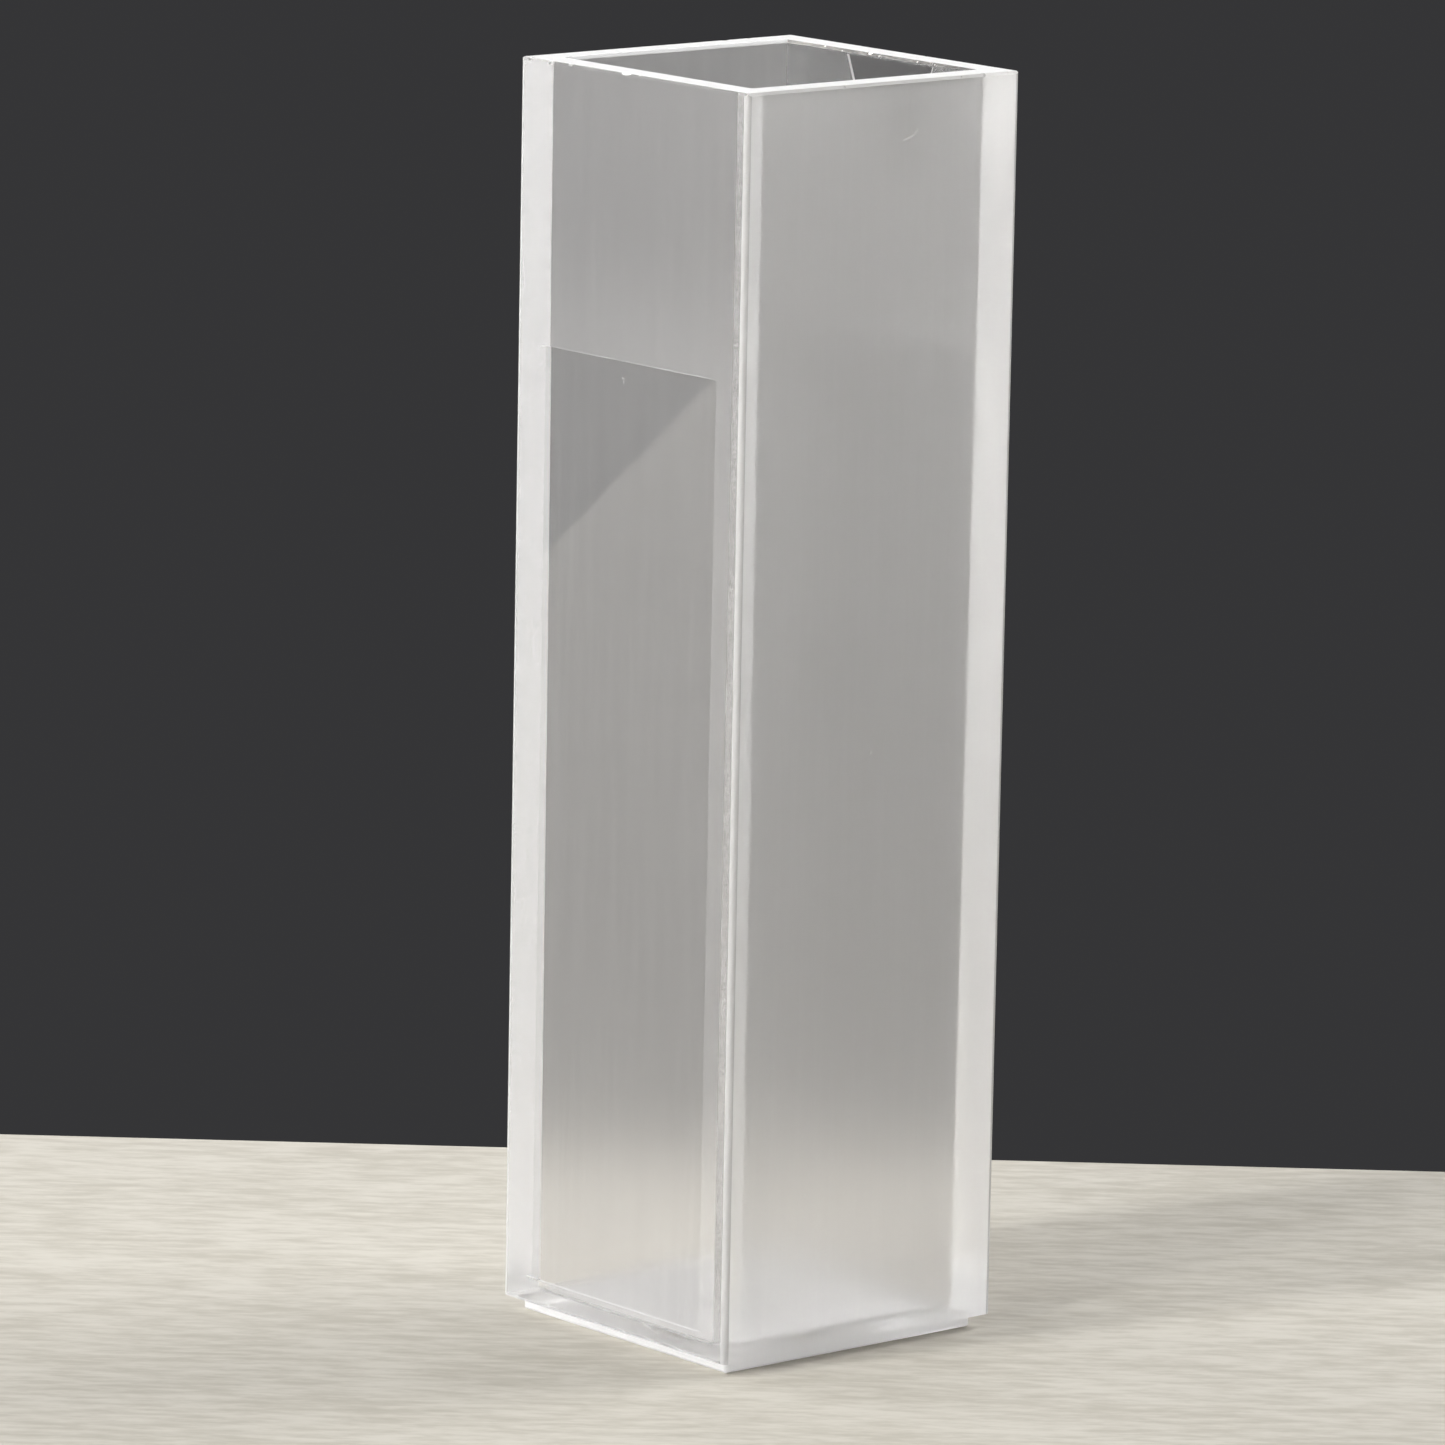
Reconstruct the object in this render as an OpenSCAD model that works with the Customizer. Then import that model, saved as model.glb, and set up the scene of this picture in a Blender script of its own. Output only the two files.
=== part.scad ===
// Square cuvette, moulded in one piece from clear plastic.
// The light passes along X, through two clear windows. The two faces along Y are
// frosted and are the ones to hold. The origin is under the centre of the foot.

/* [Body] */
// Light path: width of the square well at the rim
path_w = 10; // [8:0.1:12]
// Thickness of the four walls at the rim
wall_t = 1.175; // [0.8:0.025:2]
// Height from the base to the rim
body_h = 45; // [30:0.5:60]
// Radius of the four upright outer edges
edge_r = 0.2; // [0.1:0.05:0.4]
// Bevel round the rim, on its outer and its inner edge
rim_bevel = 0.1; // [0.05:0.01:0.2]

/* [Well] */
// Slope of the well's walls that lets the moulding core pull out, in degrees
draft_angle = 0.18; // [0.1:0.02:0.4]
// Thickness of the floor, from the base up to the bottom of the well
floor_t = 0.8; // [0.6:0.1:3]
// Radius between the floor and the walls of the well
well_r = 0.2; // [0.1:0.05:0.4]

/* [Foot] */
// Height of the foot under the walls
foot_h = 0.5; // [0.3:0.05:1]
// How far the foot stands back from the outer faces
foot_inset = 0.5; // [0.2:0.05:1]
// Bevel round the lower edge of the foot
foot_bevel = 0.1; // [0.05:0.01:0.2]

/* [Windows] */
// Plain margin at either side of a clear window
window_margin = 1.525; // [1:0.025:2.5]
// Distance from the rim down to the window's upper edge
window_drop = 10; // [9:0.5:15]
// Height of the window's lower edge above the base
window_rise = 1.4; // [1.2:0.1:5]
// Depth to which a window is set into its face, clear of scratches
window_depth = 0.1; // [0.05:0.01:0.2]
// Radius of a window's corners
window_r = 0.15; // [0.1:0.05:1]

/* [Arrow] */
// Width of the triangle that marks the light's direction
arrow_w = 4.6; // [3:0.1:6]
// Height of the triangle
arrow_h = 5.75; // [3:0.25:7]
// Distance from the rim down to the triangle's flat edge
arrow_drop = 0.25; // [0.2:0.05:1]
// Depth of the triangle
arrow_depth = 0.1; // [0.05:0.01:0.2]

/* [Gate] */
// Diameter of the dimple under the foot where the plastic was let in
gate_d = 2.4; // [1.5:0.1:4]
// Depth of the dimple
gate_depth = 0.2; // [0.1:0.05:0.3]
// Diameter of the stub left in the dimple
stub_d = 0.8; // [0.5:0.1:1.2]
// Distance that the stub stays below the face of the foot
stub_gap = 0.05; // [0.02:0.01:0.08]

/* [Hidden] */
$fn = 48;

body_w = path_w + 2 * wall_t;
foot_w = body_w - 2 * foot_inset;
well_h = body_h - floor_t;
well_floor_w = path_w - 2 * well_h * tan(draft_angle);
window_w = body_w - 2 * window_margin;
window_h = body_h - window_drop - window_rise;
// Overlap that lets a cut pass through the face it starts from
through = 1;

// Rectangle about the origin with four round corners
module round_rect(w, h, r) {
    square([w - 2 * r, h], center = true);
    square([w, h - 2 * r], center = true);
    for (x = [-1, 1], y = [-1, 1])
        translate([x * (w / 2 - r), y * (h / 2 - r)]) circle(r);
}

// What a profile gives when it is swept along X and along Y and both are kept:
// a square form whose four sides all follow that profile
module four_sided(span) {
    intersection() {
        rotate([90, 0, 0]) linear_extrude(span, center = true) children();
        rotate([90, 0, 90]) linear_extrude(span, center = true) children();
    }
}

// Side profile of a block between two heights, bevelled at its lower and upper edges
module block_profile(w, z0, z1, low_bevel, top_bevel) {
    half = w / 2;
    polygon([
        [-half + low_bevel, z0], [half - low_bevel, z0], [half, z0 + low_bevel],
        [half, z1 - top_bevel], [half - top_bevel, z1], [-half + top_bevel, z1],
        [-half, z1 - top_bevel], [-half, z0 + low_bevel]
    ]);
}

// Square block with round upright edges and bevelled ends
module block(w, z0, z1, low_bevel, top_bevel) {
    intersection() {
        translate([0, 0, z0]) linear_extrude(z1 - z0) round_rect(w, w, edge_r);
        four_sided(w + through) block_profile(w, z0, z1, low_bevel, top_bevel);
    }
}

// Side profile of the well: drafted walls, a rounded floor and a bevelled mouth
module well_profile() {
    low = well_floor_w / 2;
    top = path_w / 2;
    polygon([
        [-low + well_r, floor_t], [low - well_r, floor_t], [low, floor_t + well_r],
        [top, body_h - rim_bevel], [top + rim_bevel, body_h],
        [top + rim_bevel, body_h + through], [-top - rim_bevel, body_h + through],
        [-top - rim_bevel, body_h], [-top, body_h - rim_bevel], [-low, floor_t + well_r]
    ]);
    for (side = [-1, 1])
        translate([side * (low - well_r), floor_t + well_r]) circle(well_r);
}

// Cuts a shape, drawn as seen from outside, into the face towards +X
module face_cut(depth) {
    translate([body_w / 2 - depth, 0, 0])
        rotate([90, 0, 90]) linear_extrude(depth + through) children();
}

// Shallow panel that keeps the polished window below the face
module window_cut() {
    face_cut(window_depth)
        translate([0, window_rise + window_h / 2]) round_rect(window_w, window_h, window_r);
}

// Triangle that points down to the window, on one side only
module arrow_cut() {
    top = body_h - arrow_drop;
    face_cut(arrow_depth)
        polygon([[-arrow_w / 2, top], [arrow_w / 2, top], [0, top - arrow_h]]);
}

// Dimple under the foot, with the stub of the gate left in it
module gate_cut() {
    difference() {
        translate([0, 0, -through]) cylinder(h = through + gate_depth, d = gate_d);
        translate([0, 0, stub_gap]) cylinder(h = gate_depth, d = stub_d);
    }
}

module cuvette() {
    color([0.83, 0.85, 0.85, 0.6])
        difference() {
            union() {
                block(body_w, foot_h, body_h, 0, rim_bevel);
                block(foot_w, 0, foot_h + floor_t, foot_bevel, 0);
            }
            four_sided(body_w) well_profile();
            window_cut();
            rotate([0, 0, 180]) window_cut();
            arrow_cut();
            gate_cut();
        }
}

cuvette();
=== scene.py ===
import math

import bmesh
import bpy
from mathutils import Matrix, Vector


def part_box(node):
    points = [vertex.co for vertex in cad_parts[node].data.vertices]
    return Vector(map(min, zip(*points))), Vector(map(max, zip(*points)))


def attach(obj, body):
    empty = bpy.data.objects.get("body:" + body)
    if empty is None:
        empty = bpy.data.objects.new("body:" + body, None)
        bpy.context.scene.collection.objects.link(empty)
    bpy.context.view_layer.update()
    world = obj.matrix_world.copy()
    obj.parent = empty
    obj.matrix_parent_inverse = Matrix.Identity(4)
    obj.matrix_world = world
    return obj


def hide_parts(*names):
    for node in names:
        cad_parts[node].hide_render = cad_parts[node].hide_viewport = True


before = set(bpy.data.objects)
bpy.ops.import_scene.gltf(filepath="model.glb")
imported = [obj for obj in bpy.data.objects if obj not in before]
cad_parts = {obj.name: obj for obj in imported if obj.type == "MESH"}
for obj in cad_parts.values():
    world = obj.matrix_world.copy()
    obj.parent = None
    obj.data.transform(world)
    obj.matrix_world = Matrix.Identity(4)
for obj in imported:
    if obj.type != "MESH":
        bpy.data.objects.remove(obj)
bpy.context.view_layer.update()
mm = 0.001  # every size below is in mm, every Blender length in metres

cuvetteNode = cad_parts["cuvette"]
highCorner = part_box("cuvette")[1]
halfWidth = highCorner.x / mm
bodyHeight = highCorner.z / mm
print("frame loaded: the cuvette is", round(2 * halfWidth, 3), "mm wide and", round(bodyHeight, 3), "mm high")


cameraLook = dict(
    place=(-211.3, -250.0, 84.7),
    turn=39.99,  # compass turn of the lens from +Y, in degrees
    drop=10.91,  # how far the lens looks down
    roll=1.07,
    lens=235.4,
    sensor=36.0,
    nearest=10.0,
)


def makeCamera(look):
    turn, drop, roll = (math.radians(look[k]) for k in ("turn", "drop", "roll"))
    ahead = Vector((math.sin(turn) * math.cos(drop), math.cos(turn) * math.cos(drop), -math.sin(drop)))
    level = Vector((math.cos(turn), -math.sin(turn), 0))
    above = level.cross(ahead)
    rightWay = level * math.cos(roll) + above * math.sin(roll)
    upWay = above * math.cos(roll) - level * math.sin(roll)
    lens = bpy.data.cameras.new("camera")
    lens.lens = look["lens"]
    lens.sensor_width = look["sensor"]
    lens.clip_start = look["nearest"] * mm
    camera = bpy.data.objects.new("camera", lens)
    bpy.context.scene.collection.objects.link(camera)
    axes = Matrix((rightWay, upWay, -ahead)).transposed()
    camera.matrix_world = Matrix.Translation(Vector(look["place"]) * mm) @ axes.to_4x4()
    bpy.context.scene.camera = camera


makeCamera(cameraLook)
print("camera placed")


roomLook = dict(
    surround=(0.036, 0.036, 0.038, 1),  # the dark room behind the bench
)


def makeRoom(look):
    world = bpy.data.worlds.new("darkRoom")
    bpy.context.scene.world = world
    world.use_nodes = True
    world.node_tree.nodes["Background"].inputs["Color"].default_value = look["surround"]


makeRoom(roomLook)


# turn is the compass turn of the lamp seen from the part: 0 is in front along -Y, 90 along +X
lampTable = [
    dict(name="tallSoftboxLeft", turn=-80, rise=25, wide=0.08, high=0.40, level=9.3),
    dict(name="lowSoftboxLeft", turn=-85, rise=8, wide=0.30, high=0.15, level=17.0),
    dict(name="keyLeftMiddle", turn=-98, rise=20, wide=0.06, high=0.12, level=17.0),
    dict(name="keyLeftLower", turn=-98, rise=14, wide=0.08, high=0.25, level=17.0),
    dict(name="keyLeftUpper", turn=-98, rise=27, wide=0.06, high=0.12, level=17.0),
    dict(name="keyLeft", turn=-98, rise=28, wide=0.08, high=0.55, level=8.6),
    dict(name="lowFillLeft", turn=-120, rise=8, wide=0.30, high=0.20, level=9.3),
    dict(name="backSoftboxLeft", turn=-150, rise=22, wide=0.30, high=0.30, level=2.4),
    dict(name="lowBackLeft", turn=-165, rise=10, wide=0.30, high=0.20, level=10.3),
    dict(name="highSoftboxRight", turn=75, rise=42, wide=0.30, high=0.30, level=7.3),
    dict(name="softboxRight", turn=90, rise=22, wide=0.30, high=0.30, level=0.6),
    dict(name="lowStripRight", turn=120, rise=10, wide=0.30, high=0.20, level=6.6),
    dict(name="backSoftboxRight", turn=150, rise=25, wide=0.30, high=0.30, level=1.7),
]
lampReach = 0.6  # every lamp stands this far from the part, in metres
lampAim = 22.0  # and looks at this height


def makeLamp(look):
    light = bpy.data.lights.new(look["name"], "AREA")
    light.shape = "RECTANGLE"
    light.size = look["wide"]
    light.size_y = look["high"]
    light.energy = look["level"] * math.pi * look["wide"] * look["high"]
    lamp = bpy.data.objects.new(look["name"], light)
    bpy.context.scene.collection.objects.link(lamp)
    turn, rise = math.radians(look["turn"]), math.radians(look["rise"])
    outward = Vector((math.sin(turn) * math.cos(rise), -math.cos(turn) * math.cos(rise), math.sin(rise)))
    lamp.location = outward * lampReach + Vector((0, 0, lampAim * mm))
    lamp.rotation_euler = outward.to_track_quat("Z", "Y").to_euler()
    lamp.visible_camera = False


for lampLook in lampTable:
    makeLamp(lampLook)
print("lamps set:", len(lampTable))


# Helpers for node trees

def addNode(tree, kind, **values):
    node = tree.nodes.new(kind)
    for name, value in values.items():
        setattr(node, name, value)
    return node


def feed(tree, source, socket):
    if isinstance(source, (int, float, tuple)):
        socket.default_value = source
    else:
        tree.links.new(source, socket)


def mathNode(tree, operation, first, second=0.0, third=0.0):
    node = addNode(tree, "ShaderNodeMath", operation=operation)
    for index, value in enumerate((first, second, third)):
        feed(tree, value, node.inputs[index])
    return node.outputs[0]


def vectorNode(tree, operation, first, second=(0.0, 0.0, 0.0)):
    node = addNode(tree, "ShaderNodeVectorMath", operation=operation)
    feed(tree, first, node.inputs[0])
    feed(tree, second, node.inputs[1])
    return node.outputs[0]


def evenVector(tree, source):
    # the same value on all three axes
    node = addNode(tree, "ShaderNodeCombineXYZ")
    for axis in "XYZ":
        feed(tree, source, node.inputs[axis])
    return node.outputs[0]


def splitPlace(tree, place):
    node = addNode(tree, "ShaderNodeSeparateXYZ")
    feed(tree, place, node.inputs[0])
    return node.outputs


def rampNode(tree, value, low, high, toLow=0.0, toHigh=1.0):
    node = addNode(tree, "ShaderNodeMapRange", interpolation_type="SMOOTHSTEP")
    for index, item in enumerate((value, low, high, toLow, toHigh)):
        feed(tree, item, node.inputs[index])
    return node.outputs[0]


def noiseNode(tree, place, scale, detail=2.0, rough=0.5):
    node = addNode(tree, "ShaderNodeTexNoise")
    feed(tree, place, node.inputs["Vector"])
    feed(tree, scale, node.inputs["Scale"])
    node.inputs["Detail"].default_value = detail
    node.inputs["Roughness"].default_value = rough
    return node.outputs["Fac"]


def placeInMm(tree):
    coords = addNode(tree, "ShaderNodeTexCoord")
    place = vectorNode(tree, "SCALE", coords.outputs["Object"])
    place.node.inputs["Scale"].default_value = 1 / mm
    return place


def startGroup(name, inputs, outputs):
    group = bpy.data.node_groups.new(name, "ShaderNodeTree")
    for label, value in inputs.items():
        socket = group.interface.new_socket(name=label, in_out="INPUT", socket_type="NodeSocketFloat")
        socket.default_value = value
    for label in outputs:
        group.interface.new_socket(name=label, in_out="OUTPUT", socket_type="NodeSocketFloat")
    entry = group.nodes.new("NodeGroupInput")
    leave = group.nodes.new("NodeGroupOutput")
    return group, entry, leave, placeInMm(group)


def useGroup(tree, group, **values):
    node = tree.nodes.new("ShaderNodeGroup")
    node.node_tree = group
    for label, value in values.items():
        node.inputs[label].default_value = value
    return node


def alongFaces(group, place):
    # turns a place on the part into (way round the part, height): all its sides face X or Y
    parts = splitPlace(group, place)
    flat = addNode(group, "ShaderNodeCombineXYZ")
    feed(group, mathNode(group, "ADD", parts["X"], parts["Y"]), flat.inputs["X"])
    feed(group, parts["Z"], flat.inputs["Y"])
    side = mathNode(group, "SUBTRACT", parts["X"], parts["Y"])
    feed(group, mathNode(group, "SIGN", side), flat.inputs["Z"])
    return flat.outputs[0]


finishLook = dict(
    grainDrift=0.2,  # how far the share of wide grains varies between clouds
    markSets=((0.35, 3.1), (-0.9, 11.7), (1.45, 23.9)),  # turn and shift of each direction of marks
    markLimit=0.82,  # noise above this is a mark
    markGain=0.1,  # how much a full density lowers that limit
    markEdge=0.04,
    streakShrink=0.06,  # heights count this much, which draws the flow lines out upwards
    streakStart=0.35,
    streakFull=0.75,
    wearBreaks=2.2,  # per mm
    wearSpread=2.0,
)


# Spark-eroded mould grain: a share of tiny grains scatters wide, and their height roughens the light
def makeGrainGroup():
    group, entry, leave, place = startGroup(
        "mouldGrain", {"Grain": 0.004, "Share": 0.5, "Mottle": 0.35}, ("Wide", "Height"))
    steps = vectorNode(group, "SNAP", place, evenVector(group, entry.outputs["Grain"]))
    dots = addNode(group, "ShaderNodeTexWhiteNoise", noise_dimensions="3D")
    feed(group, steps, dots.inputs["Vector"])
    clouds = noiseNode(group, place, mathNode(group, "DIVIDE", 1.0, entry.outputs["Mottle"]), 3.0, 0.6)
    swing = finishLook["grainDrift"]
    drift = mathNode(group, "MULTIPLY_ADD", clouds, swing, 1 - swing / 2)
    limit = mathNode(group, "MULTIPLY", entry.outputs["Share"], drift)
    feed(group, mathNode(group, "LESS_THAN", dots.outputs["Value"], limit), leave.inputs["Wide"])
    feed(group, clouds, leave.inputs["Height"])
    return group


# Fine hairline marks from fingers, racks and wipes, in three directions
def makeMarksGroup():
    group, entry, leave, place = startGroup(
        "handlingMarks", {"Density": 0.5, "Length": 6.0, "Width": 0.05}, ("Marks",))
    flat = alongFaces(group, place)
    total = 0.0
    for turn, shift in finishLook["markSets"]:
        mapping = addNode(group, "ShaderNodeMapping", vector_type="TEXTURE")
        feed(group, flat, mapping.inputs["Vector"])
        mapping.inputs["Location"].default_value = (shift, -shift, 0)
        mapping.inputs["Rotation"].default_value = (0, 0, turn)
        stretch = addNode(group, "ShaderNodeCombineXYZ")
        feed(group, entry.outputs["Length"], stretch.inputs["X"])
        feed(group, entry.outputs["Width"], stretch.inputs["Y"])
        stretch.inputs["Z"].default_value = 1.0
        feed(group, stretch.outputs[0], mapping.inputs["Scale"])
        lines = noiseNode(group, mapping.outputs[0], 1.0, 1.0)
        density, gain = entry.outputs["Density"], finishLook["markGain"]
        limit = mathNode(group, "MULTIPLY_ADD", density, -gain, finishLook["markLimit"])
        upper = mathNode(group, "ADD", limit, finishLook["markEdge"])
        total = mathNode(group, "MAXIMUM", rampNode(group, lines, limit, upper), total)
    feed(group, total, leave.inputs["Marks"])
    return group


# Slow waves and upright flow lines that the melt leaves in a moulded wall
def makeFlowGroup():
    group, entry, leave, place = startGroup(
        "meltFlow", {"Wave": 3.0, "Streak": 0.5}, ("Height", "Tone"))
    flat = alongFaces(group, place)
    waves = noiseNode(group, place, mathNode(group, "DIVIDE", 1.0, entry.outputs["Wave"]), 1.0)
    feed(group, waves, leave.inputs["Height"])
    thin = vectorNode(group, "MULTIPLY", flat, (1.0, finishLook["streakShrink"], 1.0))
    streaks = noiseNode(group, thin, mathNode(group, "DIVIDE", 1.0, entry.outputs["Streak"]), 3.0, 0.6)
    tone = rampNode(group, streaks, finishLook["streakStart"], finishLook["streakFull"])
    feed(group, tone, leave.inputs["Tone"])
    return group


# Rubbed, whitened plastic along the outer edges, broken up by noise
def makeWearGroup():
    group, entry, leave, place = startGroup(
        "edgeWear", {"Half Width": 6.0, "Height": 45.0, "Reach": 0.15}, ("Wear",))
    parts = splitPlace(group, place)
    gaps = []
    for axis in "XY":
        outward = mathNode(group, "ABSOLUTE", parts[axis])
        gaps.append(mathNode(group, "SUBTRACT", entry.outputs["Half Width"], outward))
    upright = mathNode(group, "MAXIMUM", gaps[0], gaps[1])
    top = mathNode(group, "SUBTRACT", entry.outputs["Height"], parts["Z"])
    nearest = mathNode(group, "MINIMUM", upright, mathNode(group, "MINIMUM", top, parts["Z"]))
    breaks = noiseNode(group, place, finishLook["wearBreaks"], 4.0, 0.65)
    spread = mathNode(group, "MULTIPLY", breaks, finishLook["wearSpread"])
    reach = mathNode(group, "MULTIPLY", entry.outputs["Reach"], spread)
    feed(group, rampNode(group, nearest, 0.0, reach, 1.0, 0.0), leave.inputs["Wear"])
    return group


grainGroup = makeGrainGroup()
marksGroup = makeMarksGroup()
flowGroup = makeFlowGroup()
wearGroup = makeWearGroup()
print("shared finishes built")


floorLook = dict(
    back=25.0,
    front=600.0,
    side=600.0,
    thick=12.0,
    gap=0.02,  # kept between the bench and the foot
    turn=41.8,
    pale=(0.56, 0.532, 0.472, 1),
    worn=(0.42, 0.392, 0.335, 1),
    streak=(2.2, 0.55, 1.0),  # length, width and depth of the grain, in mm
    patch=(11.0, 3.2, 1.0),  # and of the slow patches
    streakShare=0.6,  # how much of the pattern is grain, the rest being patches
    wornBelow=0.36,  # the pattern's values that are fully worn
    paleAbove=0.62,  # and fully pale
    contrast=0.8,
    dull=0.85,
    smooth=0.75,
    relief=0.01,  # in mm
    shine=0.2,
)


def makeBenchTop(look):
    material = bpy.data.materials.new("benchTop")
    material.use_nodes = True
    tree = material.node_tree
    shader = tree.nodes["Principled BSDF"]
    place = placeInMm(tree)
    noises = []
    for size, detail in ((look["streak"], 4.0), (look["patch"], 3.0)):
        mapping = addNode(tree, "ShaderNodeMapping", vector_type="TEXTURE")
        feed(tree, place, mapping.inputs["Vector"])
        mapping.inputs["Rotation"].default_value = (0, 0, -math.radians(look["turn"]))
        mapping.inputs["Scale"].default_value = size
        noises.append(noiseNode(tree, mapping.outputs[0], 1.0, detail, 0.65))
    streaks, patches = noises
    share = look["streakShare"]
    blend = mathNode(tree, "MULTIPLY_ADD", patches, 1 - share, mathNode(tree, "MULTIPLY", streaks, share))
    tone = rampNode(tree, blend, look["wornBelow"], look["paleAbove"])
    factor = mathNode(tree, "MULTIPLY_ADD", tone, look["contrast"], 1 - look["contrast"])
    mix = addNode(tree, "ShaderNodeMix", data_type="RGBA")
    feed(tree, factor, mix.inputs["Factor"])
    for socket in [s for s in mix.inputs if s.type == "RGBA"]:
        socket.default_value = look["worn"] if socket.name == "A" else look["pale"]
    colour = next(s for s in mix.outputs if s.type == "RGBA")
    tree.links.new(colour, shader.inputs["Base Color"])
    feed(tree, rampNode(tree, streaks, 0.3, 0.7, look["dull"], look["smooth"]), shader.inputs["Roughness"])
    shader.inputs["Specular IOR Level"].default_value = look["shine"]
    bump = addNode(tree, "ShaderNodeBump")
    bump.inputs["Distance"].default_value = look["relief"] * mm
    feed(tree, streaks, bump.inputs["Height"])
    feed(tree, bump.outputs[0], shader.inputs["Normal"])
    return material


def makeFloor(look):
    mesh = bpy.data.meshes.new("floor")
    work = bmesh.new()
    turn = Matrix.Rotation(-math.radians(look["turn"]), 3, "Z")
    top = []
    for x, y in ((-1, -1), (1, -1), (1, 1), (-1, 1)):
        reach = look["front"] if y < 0 else look["back"]
        top.append(work.verts.new(turn @ Vector((x * look["side"], y * reach, -look["gap"])) * mm))
    made = bmesh.ops.extrude_face_region(work, geom=[work.faces.new(top)])
    for item in made["geom"]:
        if isinstance(item, bmesh.types.BMVert):
            item.co.z -= look["thick"] * mm
    bmesh.ops.recalc_face_normals(work, faces=work.faces)
    work.to_mesh(mesh)
    work.free()
    mesh.materials.append(makeBenchTop(look))
    floor = bpy.data.objects.new("floor", mesh)
    bpy.context.scene.collection.objects.link(floor)


makeFloor(floorLook)
print("bench top laid")


# What a skin has unless its own line says otherwise: share is how much of it scatters wide, wide
# the roughness of that part, through how much light passes instead of glowing.
plainSkin = dict(tint=(0.985, 0.978, 0.974), wide=0.95, share=0.0, through=1.0,
                 wave=0.0, mottle=0.0, marks=0.0, wear=0.0)
# The skins that the mould leaves, and painted shade on the rounded upright edges. core is the roughness
# of the even part. fill gives the heights between which the haze that samples leave in the well fades out.
skinLooks = dict(
    clearPlastic=dict(tint=(0.99, 0.985, 0.983), core=0.02, wave=0.0008, marks=0.10),
    wellPlastic=dict(tint=(0.99, 0.985, 0.983), core=0.20, wave=0.0008, marks=0.10, fill=(34.0, 41.0)),
    satinPlastic=dict(core=0.15, share=0.055, through=0.97, wave=0.001, mottle=0.0003, marks=0.20, wear=0.10),
    frostPlastic=dict(core=0.29, share=0.24, through=0.90, wave=0.001, mottle=0.0005, marks=0.15, wear=0.10),
    rimPlastic=dict(tint=(0.975, 0.97, 0.965), core=0.45, share=0.50, through=0.25, wave=0.002, mottle=0.004),
    stepPlastic=dict(core=0.28, share=0.30, through=0.6),
    # painted shade: this grey tint darkens the rounded upright edges, whose plastic is no greyer than the
    # rest
    cornerPaintedShadePlastic=dict(tint=(0.50, 0.493, 0.487), core=0.50, through=0.6),
    footPlastic=dict(core=0.30, share=0.35, through=0.79, wave=0.001, mottle=0.001, marks=0.10, wear=0.10),
    solePlastic=dict(tint=(0.99, 0.985, 0.98), core=0.10, share=0.60, through=0.20,
                     wave=0.001, mottle=0.001, marks=0.10),
)
skinNames = list(skinLooks)
plasticLook = dict(
    bending=1.59,  # polystyrene's index of refraction
    streakShade=0.97,  # how dark the flow lines are
    cutDepth=0.0003,  # of the hairline marks, in mm
)


def makePlastic(name, ownLook):
    look = dict(plainSkin, **ownLook)
    material = bpy.data.materials.new(name)
    material.use_nodes = True
    tree = material.node_tree
    shader = tree.nodes["Principled BSDF"]
    shader.inputs["Transmission Weight"].default_value = look["through"]
    shader.inputs["IOR"].default_value = plasticLook["bending"]
    grain = useGroup(tree, grainGroup, Share=look["share"])
    marks = useGroup(tree, marksGroup, Density=look["marks"])
    flow = useGroup(tree, flowGroup)
    wear = useGroup(tree, wearGroup, **{"Half Width": halfWidth, "Height": bodyHeight})
    rubbed = mathNode(tree, "MULTIPLY", wear.outputs["Wear"], look["wear"])
    scratched = mathNode(tree, "MULTIPLY", marks.outputs["Marks"], look["marks"])

    skin = look["core"]
    if "fill" in look:
        height = splitPlace(tree, placeInMm(tree))["Z"]
        skin = rampNode(tree, height, *look["fill"], skin, skinLooks["clearPlastic"]["core"])
    if look["share"] > 0:
        more = look["wide"] - look["core"]
        skin = mathNode(tree, "MULTIPLY_ADD", grain.outputs["Wide"], more, look["core"])
    spoiled = mathNode(tree, "ADD", rubbed, scratched)
    rough = mathNode(tree, "ADD", skin, spoiled)
    feed(tree, mathNode(tree, "MINIMUM", rough, 1.0), shader.inputs["Roughness"])

    shade = rampNode(tree, flow.outputs["Tone"], 0.0, 1.0, plasticLook["streakShade"], 1.0)
    colour = vectorNode(tree, "SCALE", look["tint"])
    feed(tree, shade, colour.node.inputs["Scale"])
    feed(tree, colour, shader.inputs["Base Color"])

    waves = mathNode(tree, "MULTIPLY", flow.outputs["Height"], look["wave"] * mm)
    mottle = mathNode(tree, "MULTIPLY", grain.outputs["Height"], look["mottle"] * mm)
    cuts = mathNode(tree, "MULTIPLY", marks.outputs["Marks"], -plasticLook["cutDepth"] * mm)
    relief = mathNode(tree, "ADD", mathNode(tree, "ADD", waves, mottle), cuts)
    bump = addNode(tree, "ShaderNodeBump")
    bump.inputs["Distance"].default_value = 1.0
    feed(tree, relief, bump.inputs["Height"])
    feed(tree, bump.outputs[0], shader.inputs["Normal"])
    return material


skins = [makePlastic(name, look) for name, look in skinLooks.items()]
print("plastic skins built:", ", ".join(skinNames))


# Small chips that flaked off along the rim, on its outer and its inner edge
chipLook = dict(
    edges=(dict(side=2 * halfWidth, count=46, seed=7), dict(side=10.0, count=40, seed=27)),
    smallest=0.03,
    largest=0.13,
    lift=0.015,  # how far the chips' middles stand above the rim
    scatter=0.05,
)


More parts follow.
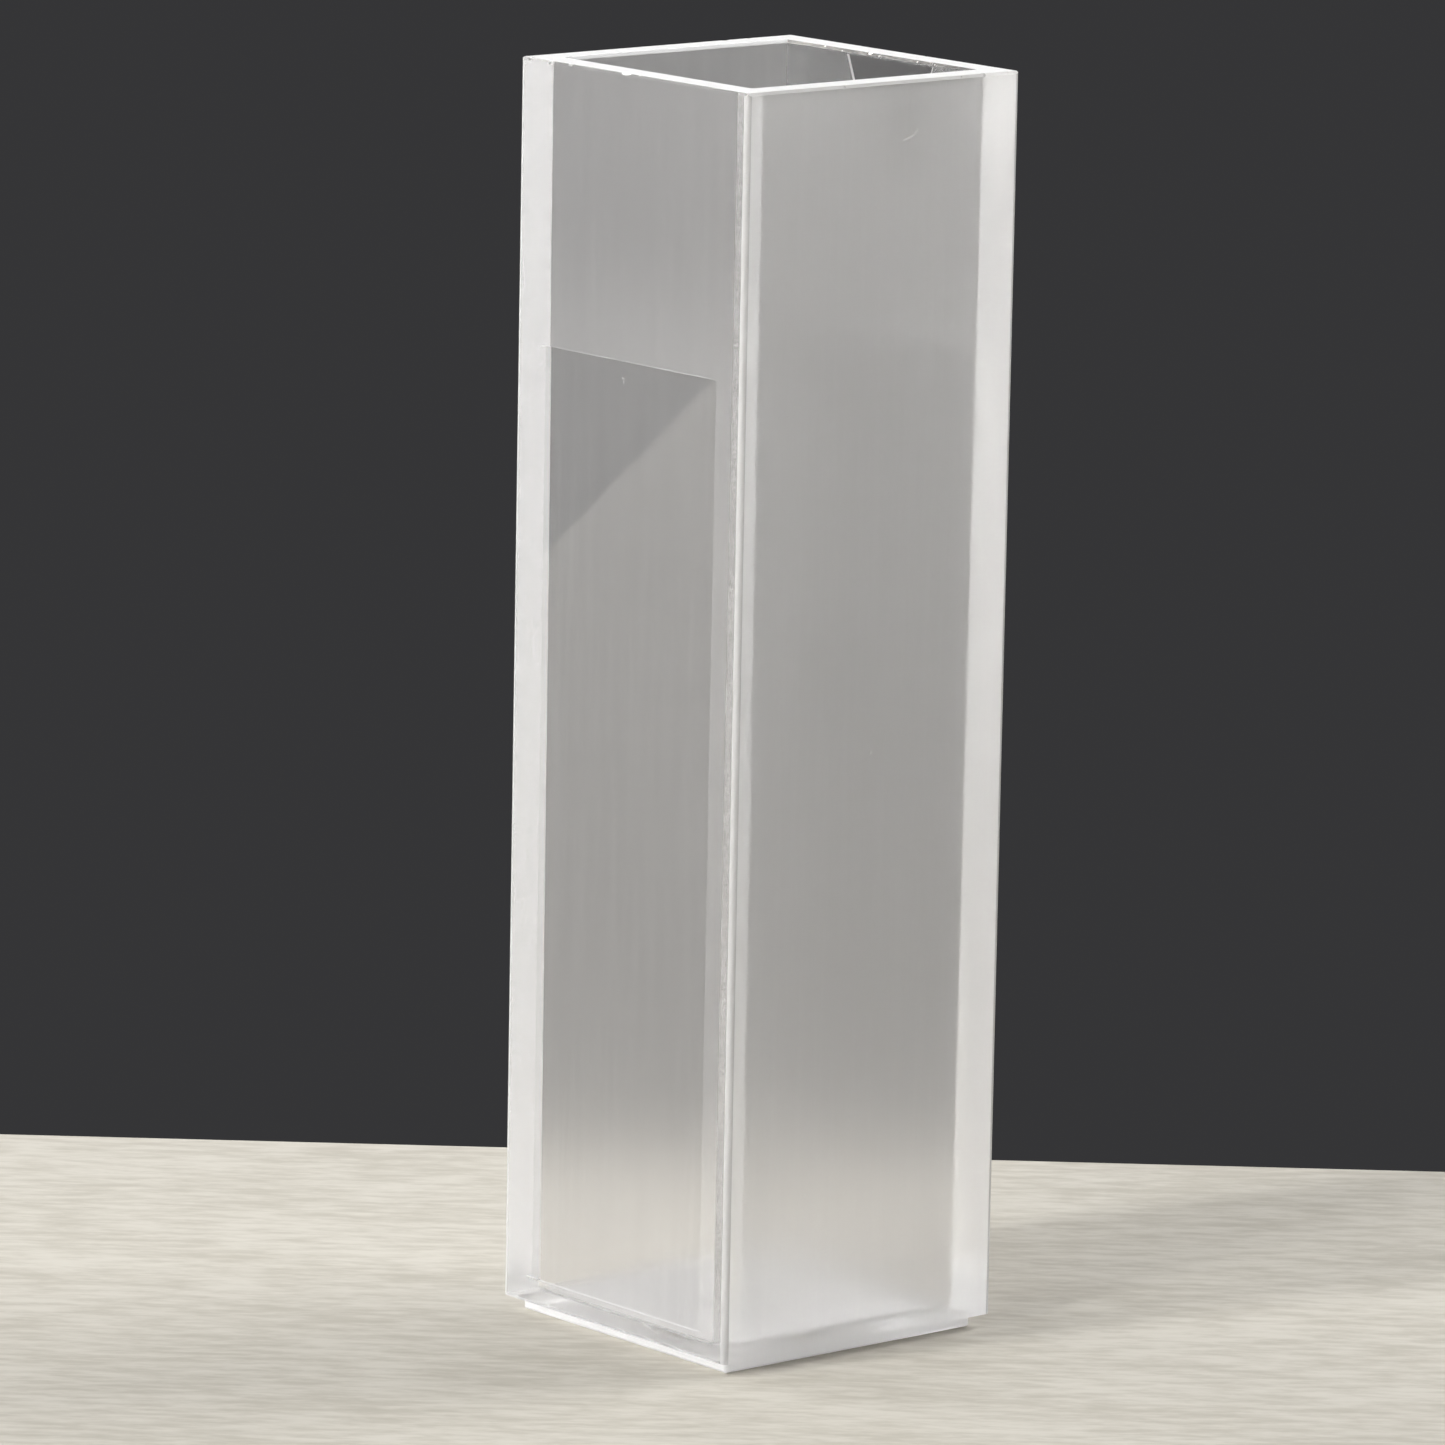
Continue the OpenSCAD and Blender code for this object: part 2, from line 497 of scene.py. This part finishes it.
def makeChipTree():
    tree = bpy.data.node_groups.new("rimChips", "GeometryNodeTree")
    face = tree.interface
    face.new_socket(name="Geometry", in_out="INPUT", socket_type="NodeSocketGeometry")
    for label in ("Side", "Height", "Smallest", "Largest", "Scatter"):
        face.new_socket(name=label, in_out="INPUT", socket_type="NodeSocketFloat")
    for label in ("Count", "Seed"):
        face.new_socket(name=label, in_out="INPUT", socket_type="NodeSocketInt")
    face.new_socket(name="Material", in_out="INPUT", socket_type="NodeSocketMaterial")
    face.new_socket(name="Geometry", in_out="OUTPUT", socket_type="NodeSocketGeometry")
    entry = tree.nodes.new("NodeGroupInput")
    leave = tree.nodes.new("NodeGroupOutput")
    link = tree.links.new

    path = addNode(tree, "GeometryNodeCurvePrimitiveQuadrilateral", mode="RECTANGLE")
    link(entry.outputs["Side"], path.inputs["Width"])
    link(entry.outputs["Side"], path.inputs["Height"])
    points = addNode(tree, "GeometryNodeCurveToPoints", mode="COUNT")
    link(path.outputs["Curve"], points.inputs["Curve"])
    link(entry.outputs["Count"], points.inputs["Count"])

    def randomVector(low, high, shift):
        pick = addNode(tree, "FunctionNodeRandomValue", data_type="FLOAT_VECTOR")
        feed(tree, low, pick.inputs[0])
        feed(tree, high, pick.inputs[1])
        link(mathNode(tree, "ADD", entry.outputs["Seed"], shift), pick.inputs["Seed"])
        return pick.outputs[0]

    scatter = entry.outputs["Scatter"]
    back = mathNode(tree, "MULTIPLY", scatter, -1.0)
    spread = randomVector(evenVector(tree, back), evenVector(tree, scatter), 0)
    lift = addNode(tree, "ShaderNodeCombineXYZ")
    link(entry.outputs["Height"], lift.inputs["Z"])
    moved = addNode(tree, "GeometryNodeSetPosition")
    link(points.outputs["Points"], moved.inputs["Geometry"])
    link(vectorNode(tree, "ADD", spread, lift.outputs[0]), moved.inputs["Offset"])

    flake = addNode(tree, "GeometryNodeMeshIcoSphere")
    flake.inputs["Radius"].default_value = 1.0
    flake.inputs["Subdivisions"].default_value = 2
    flakes = addNode(tree, "GeometryNodeInstanceOnPoints")
    link(moved.outputs[0], flakes.inputs["Points"])
    link(flake.outputs["Mesh"], flakes.inputs["Instance"])
    turn = addNode(tree, "FunctionNodeEulerToRotation")
    link(randomVector((0.0, 0.0, 0.0), (math.tau, math.tau, math.tau), 1), turn.inputs[0])
    link(turn.outputs[0], flakes.inputs["Rotation"])
    smallest, largest = (evenVector(tree, entry.outputs[label]) for label in ("Smallest", "Largest"))
    link(randomVector(smallest, largest, 2), flakes.inputs["Scale"])

    realize = addNode(tree, "GeometryNodeRealizeInstances")
    link(flakes.outputs["Instances"], realize.inputs[0])
    paint = addNode(tree, "GeometryNodeSetMaterial")
    link(realize.outputs[0], paint.inputs["Geometry"])
    link(entry.outputs["Material"], paint.inputs["Material"])
    link(paint.outputs[0], leave.inputs[0])
    return tree


def evaluatedMesh(thing):
    graph = bpy.context.evaluated_depsgraph_get()
    return bpy.data.meshes.new_from_object(thing.evaluated_get(graph), depsgraph=graph)


def bakeTree(tree, values):
    # runs a geometry tree on an empty object and returns the plain mesh that comes out
    carrier = bpy.data.objects.new("carrier", bpy.data.meshes.new("carrier"))
    bpy.context.scene.collection.objects.link(carrier)
    modifier = carrier.modifiers.new("tree", "NODES")
    modifier.node_group = tree
    sockets = {s.name: s.identifier for s in tree.interface.items_tree if s.in_out == "INPUT"}
    for label, value in values.items():
        modifier[sockets[label]] = value
    mesh = evaluatedMesh(carrier)
    carrier.modifiers.remove(modifier)
    bpy.data.objects.remove(carrier)
    return mesh


def makeChips(look):
    tree = makeChipTree()
    meshes = []
    for edge in look["edges"]:
        meshes.append(bakeTree(tree, {
            "Side": edge["side"] * mm, "Height": (bodyHeight + look["lift"]) * mm,
            "Smallest": look["smallest"] * mm, "Largest": look["largest"] * mm,
            "Scatter": look["scatter"] * mm, "Count": edge["count"], "Seed": edge["seed"],
            "Material": skins[skinNames.index("rimPlastic")]}))
    return meshes


# Marks of use that sit at one place each: middle, half sizes and tilt about the face's own normal.
# A soft one is a faint dent with frosted walls.
nickTable = [
    dict(at=(1.15, -6.20, 43.05), size=(0.45, 0.05, 0.06), axis="Y", tilt=-19),
    dict(at=(1.42, -6.20, 43.22), size=(0.16, 0.05, 0.05), axis="Y", tilt=-40),
    dict(at=(-0.04, -6.19, 21.56), size=(0.07, 0.04, 0.09), axis="Y", tilt=10),
    dict(at=(-6.09, 0.35, 34.38), size=(0.03, 0.10, 0.03), axis="X", tilt=8, soft=1),
    dict(at=(-6.09, 0.33, 34.26), size=(0.03, 0.03, 0.09), axis="X", tilt=0, soft=1),
    dict(at=(5.04, 0.55, 45.02), size=(0.11, 0.15, 0.09), axis="Z", tilt=15),
    dict(at=(-0.95, -5.02, 45.02), size=(0.22, 0.10, 0.11), axis="Z", tilt=5),
    dict(at=(3.00, 6.12, 45.03), size=(0.20, 0.14, 0.11), axis="Z", tilt=20),
    dict(at=(4.10, 6.15, 45.03), size=(0.13, 0.12, 0.12), axis="Z", tilt=70),
    dict(at=(-6.10, 0.45, 45.04), size=(0.16, 0.30, 0.12), axis="Z", tilt=10),
    dict(at=(-5.95, -0.25, 45.05), size=(0.20, 0.16, 0.10), axis="Z", tilt=50),
]


def makeCutter(chipMeshes, nicks):
    work = bmesh.new()
    for mesh in chipMeshes:
        work.from_mesh(mesh)
    for nick in nicks:
        place = Matrix.Translation(Vector(nick["at"]) * mm)
        turn = Matrix.Rotation(math.radians(nick["tilt"]), 4, nick["axis"])
        size = Matrix.Diagonal(Vector(nick["size"]) * mm).to_4x4()
        dent = bmesh.ops.create_icosphere(work, subdivisions=2, radius=1.0, matrix=place @ turn @ size)
        for face in {f for point in dent["verts"] for f in point.link_faces}:
            face.material_index = nick.get("soft", 0)
    mesh = bpy.data.meshes.new("chipCutter")
    bmesh.ops.recalc_face_normals(work, faces=work.faces)
    work.to_mesh(mesh)
    work.free()
    for name in ("rimPlastic", "frostPlastic"):
        mesh.materials.append(skins[skinNames.index(name)])
    for old in chipMeshes:
        bpy.data.meshes.remove(old)
    cutter = bpy.data.objects.new("chipCutter", mesh)
    bpy.context.scene.collection.objects.link(cutter)
    return cutter


bodyLook = dict(
    rimBand=0.03,  # the flat top of the rim reaches this far down
    rimSlope=0.9,
    soleTop=0.05,
    footTop=0.55,
    cornerReach=0.19,  # the rounded upright edges
    cornerSlope=0.05,  # and their least turn away from X and from Y
    frostReach=0.15,  # a frosted face lies within this depth
    satinReach=0.09,  # a satin face too, with the windows and the arrow set deeper
    sideSlope=0.5,
    wellDepth=0.8,  # everything deeper than this is the inside of the well
    windowHalf=4.5,  # half the width of a window without its rounded corners
    windowRound=0.15,  # the radius of those corners
    windowRun=0.35,  # how far its upright sides run out into the face
    stepReach=0.12,  # its end steps lie within this depth
    slopeLow=0.1,  # and its sloping sides face away from X by this much
    slopeHigh=0.7,
    endBand=1.0,  # no window comes nearer than this to the rim or the base
    slack=0.01,
    looseReach=0.0001,  # points nearer than this are one: in the copied mesh
    cutReach=0.0005,  # and after the chips are cut
    sliverReach=0.0002,  # an edge shorter than this goes
    sharpAngle=12,  # in degrees
)


def skinOf(face, look):
    middle, normal = face.calc_center_median() / mm, face.normal
    outX, outY = halfWidth - abs(middle.x), halfWidth - abs(middle.y)  # depths under the side faces
    facingX, facingY = abs(normal.x), abs(normal.y)
    if middle.z > bodyHeight - look["rimBand"] and normal.z > look["rimSlope"]:
        name = "rimPlastic"
    elif middle.z < look["soleTop"] and normal.z < -look["rimSlope"]:
        name = "solePlastic"
    elif middle.z < look["footTop"]:
        name = "footPlastic"
    # the rounded upright edges get the grey-tinted skin of painted shade
    elif max(outX, outY) < look["cornerReach"] and min(facingX, facingY) > look["cornerSlope"]:
        name = "cornerPaintedShadePlastic"
    elif outX < look["stepReach"] and facingX < look["slopeHigh"] and middle.z < bodyHeight - look["endBand"]:
        name = "stepPlastic"
    elif outY < look["frostReach"] and facingY >= facingX:
        name = "frostPlastic"
    elif outX < look["satinReach"] and facingX > look["sideSlope"]:
        name = "satinPlastic"
    elif min(outX, outY) > look["wellDepth"]:
        name = "wellPlastic"
    else:
        name = "clearPlastic"
    return skinNames.index(name)


def softenWindows(work, look):
    # the upright sides of the windows run out into the face on a gentle slope, their ends are steps
    before = [face.normal.copy() for face in work.faces]
    gain = 1 + look["windowRun"] / look["windowRound"]
    for point in work.verts:
        x, y, z = point.co / mm
        over = abs(y) - look["windowHalf"]
        onFace = abs(x) > halfWidth - look["slack"]
        onRound = 0 < over < look["windowRound"] + look["slack"]
        if onFace and onRound and look["endBand"] < z < bodyHeight - look["endBand"]:
            point.co.y = math.copysign(look["windowHalf"] + over * gain, y) * mm
    work.normal_update()
    turned = sum(old.dot(face.normal) < 0 for old, face in zip(before, work.faces))
    print("windows softened,", turned, "faces turned over")


def makeBody(look):
    mesh = cuvetteNode.data.copy()
    mesh.materials.clear()
    for skin in skins:
        mesh.materials.append(skin)
    work = bmesh.new()
    work.from_mesh(mesh)
    bmesh.ops.remove_doubles(work, verts=work.verts, dist=look["looseReach"] * mm)
    softenWindows(work, look)
    for face in work.faces:
        face.material_index = skinOf(face, look)
    work.to_mesh(mesh)
    work.free()
    for name in [a.name for a in mesh.attributes if a.name == "custom_normal"]:
        mesh.attributes.remove(mesh.attributes[name])
    blank = bpy.data.objects.new("cuvetteBlank", mesh)
    bpy.context.scene.collection.objects.link(blank)
    return blank


def cutChips(blank, cutter):
    cut = blank.modifiers.new("chips", "BOOLEAN")
    cut.operation = "DIFFERENCE"
    cut.solver = "EXACT"
    cut.use_self = True
    cut.material_mode = "TRANSFER"
    cut.object = cutter
    mesh = evaluatedMesh(blank)
    blank.modifiers.remove(cut)
    for spare in (blank, cutter):
        data = spare.data
        bpy.data.objects.remove(spare)
        bpy.data.meshes.remove(data)
    return mesh


def flattenSlopes(mesh, look):
    # the sloping sides of the windows catch the light as the flat face round them does
    normals = [corner.vector.copy() for corner in mesh.corner_normals]
    satin = skinNames.index("satinPlastic")
    count = 0
    for face in mesh.polygons:
        across, level = abs(face.normal.x), math.hypot(face.normal.y, face.normal.z)
        if face.material_index == satin and across >= look["slopeHigh"] and level > look["slopeLow"]:
            for corner in face.loop_indices:
                normals[corner] = Vector((math.copysign(1, face.normal.x), 0, 0))
            count += 1
    mesh.normals_split_custom_set(normals)
    print("window slopes flattened:", count, "faces")


def finishBody(mesh, look):
    work = bmesh.new()
    work.from_mesh(mesh)
    bmesh.ops.remove_doubles(work, verts=work.verts, dist=look["cutReach"] * mm)
    bmesh.ops.dissolve_degenerate(work, edges=work.edges, dist=look["sliverReach"] * mm)
    bmesh.ops.triangulate(work, faces=work.faces)
    for face in work.faces:
        face.smooth = True
    for edge in work.edges:
        edge.smooth = edge.calc_face_angle(0) < math.radians(look["sharpAngle"])
    loose = [e for e in work.edges if len(e.link_faces) != 2]
    print("body mesh:", len(work.faces), "triangles,", len(loose), "open edges")
    work.to_mesh(mesh)
    work.free()
    shaped = bpy.data.objects.new("cuvetteShaped", mesh)
    bpy.context.scene.collection.objects.link(shaped)
    flatten = shaped.modifiers.new("flatFaces", "WEIGHTED_NORMAL")
    flatten.keep_sharp = True
    final = evaluatedMesh(shaped)
    shaped.modifiers.remove(flatten)
    bpy.data.objects.remove(shaped)
    final.name = "cuvetteBody"
    flattenSlopes(final, look)
    body = bpy.data.objects.new("cuvetteBody", final)
    bpy.context.scene.collection.objects.link(body)
    return body


blank = makeBody(bodyLook)
chipCutter = makeCutter(makeChips(chipLook), nickTable)
cuvetteBody = finishBody(cutChips(blank, chipCutter), bodyLook)
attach(cuvetteBody, "root")
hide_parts("cuvette")
print("cuvette finished")


view = bpy.context.scene.view_settings
view.view_transform = "Standard"
paths = bpy.context.scene.cycles
paths.max_bounces = 24  # light crosses many walls lengthwise
paths.glossy_bounces = 16
paths.transmission_bounces = 24
